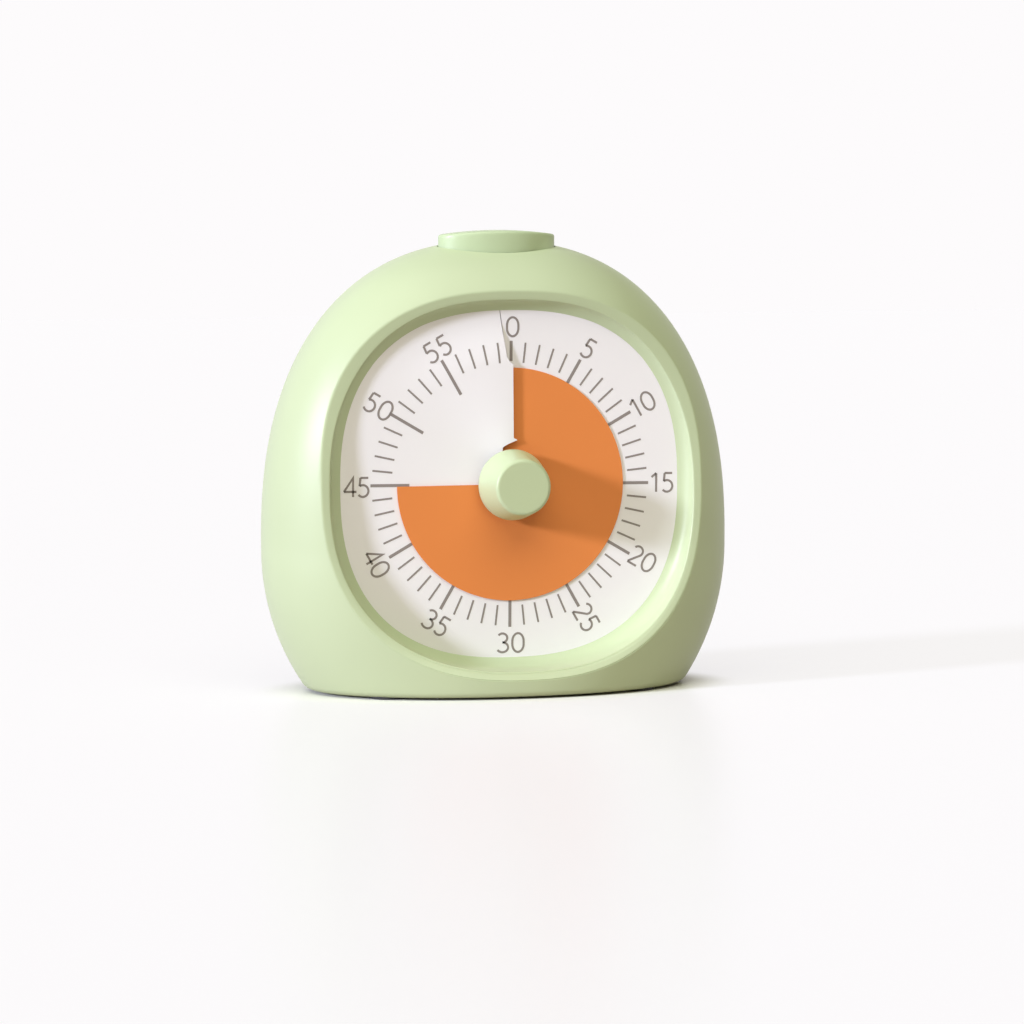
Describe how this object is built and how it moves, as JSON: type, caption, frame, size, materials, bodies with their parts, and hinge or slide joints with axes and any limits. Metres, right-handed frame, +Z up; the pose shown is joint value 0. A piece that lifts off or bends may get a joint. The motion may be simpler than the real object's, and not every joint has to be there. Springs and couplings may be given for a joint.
{
  "type": "visual countdown timer",
  "caption": "Pebble-shaped table timer: a knob winds an orange disc through a slit in a white sixty-minute dial, with a push button on top and a battery door at the back.",
  "frame": {"origin": "on the table under the middle of the body, at the foot pads' lower faces", "axes": "+X to the right of the dial, +Y from the dial to the back, +Z up"},
  "size_m": [0.1014, 0.0468, 0.0978],
  "materials": {
    "case": "satin green",
    "knob": "satin green",
    "button": "satin green",
    "dial": "matt white with grey print",
    "disc": "matt orange",
    "white_plastic": "matt",
    "acetal": "smooth",
    "pads": "matt",
    "screws": "zinc plated",
    "steel": "bright",
    "spring_steel": "nickel plated",
    "cells": "satin",
    "copper": "plain",
    "board": "lacquered",
    "chip": "smooth",
    "dark_plastic": "matt",
    "leads": "smooth"
  },
  "bodies": {
    "case": {"front_case": "case", "rear_case": "case", "foot_pads": "pads", "case_screws": "screws", "dial_plate": "dial", "dial_carrier": "white_plastic", "carrier_screws": "screws", "motor_can": "steel", "movement_front_housing": "white_plastic", "movement_rear_housing": "white_plastic", "movement_screws": "screws", "circuit_board": "board", "board_screws": "screws", "control_chip": "chip", "buzzer": "dark_plastic", "sound_switch_body": "dark_plastic", "button_spring": "spring_steel", "button_switch": "dark_plastic", "button_board": "board", "button_screws": "screws", "batteries": "cells", "battery_contacts": "spring_steel", "battery_springs": "spring_steel", "battery_leads": "leads", "button_leads": "leads", "motor_leads": "leads"},
    "stop_ring": {"stop_ring": "acetal"},
    "knob": {"knob": "knob", "spindle": "steel", "disc_hub": "white_plastic", "time_disc": "disc", "clutch_spring": "spring_steel", "clutch_clip": "spring_steel"},
    "drive_wheel": {"drive_wheel": "acetal"},
    "transfer": {"transfer_pinion": "acetal", "transfer_wheel": "acetal", "transfer_arbor": "steel"},
    "motor_rotor": {"motor_pinion": "copper", "motor_shaft": "steel"},
    "top_button": {"top_button": "button"},
    "sound_slider": {"sound_slider": "dark_plastic"},
    "battery_door": {"battery_door": "case"}
  },
  "joints": [
    {"name": "stop_ring_turn", "type": "hinge", "parent": "case", "child": "stop_ring", "pos_m": [0, -0.0106, 0.0443], "axis": [0, 1, 0], "range_deg": [-135, 45]},
    {"name": "knob_turn", "type": "hinge", "parent": "stop_ring", "child": "knob", "pos_m": [0, -0.0106, 0.0443], "axis": [0, 1, 0], "range_deg": [-135, 45], "deforming": ["time_disc"]},
    {"name": "drive_wheel_turn", "type": "hinge", "parent": "case", "child": "drive_wheel", "pos_m": [0, -0.0106, 0.0443], "axis": [0, 1, 0], "continuous": true},
    {"name": "transfer_turn", "type": "hinge", "parent": "case", "child": "transfer", "pos_m": [-0.012, -0.0106, 0.0443], "axis": [0, 1, 0], "continuous": true},
    {"name": "motor_turn", "type": "hinge", "parent": "case", "child": "motor_rotor", "pos_m": [-0.012, -0.0106, 0.0343], "axis": [0, 1, 0], "continuous": true},
    {"name": "button_press", "type": "slide", "parent": "case", "child": "top_button", "axis": [0, 0, -1], "range_m": [0, 0.0012], "stiffness_N_per_m": 400, "springref_m": -0.0008, "deforming": ["button_spring"]},
    {"name": "sound_slide", "type": "slide", "parent": "case", "child": "sound_slider", "axis": [1, 0, 0], "range_m": [-0.0018, 0.0018]},
    {"name": "battery_door_hinge", "type": "hinge", "parent": "case", "child": "battery_door", "pos_m": [0, 0.0221, 0.00405], "axis": [-1, 0, 0], "range_deg": [0, 75]}
  ],
  "couplings": [
    {"joint": "transfer_turn", "follows": "drive_wheel_turn", "ratio": -4},
    {"joint": "motor_turn", "follows": "drive_wheel_turn", "ratio": 16}
  ]
}
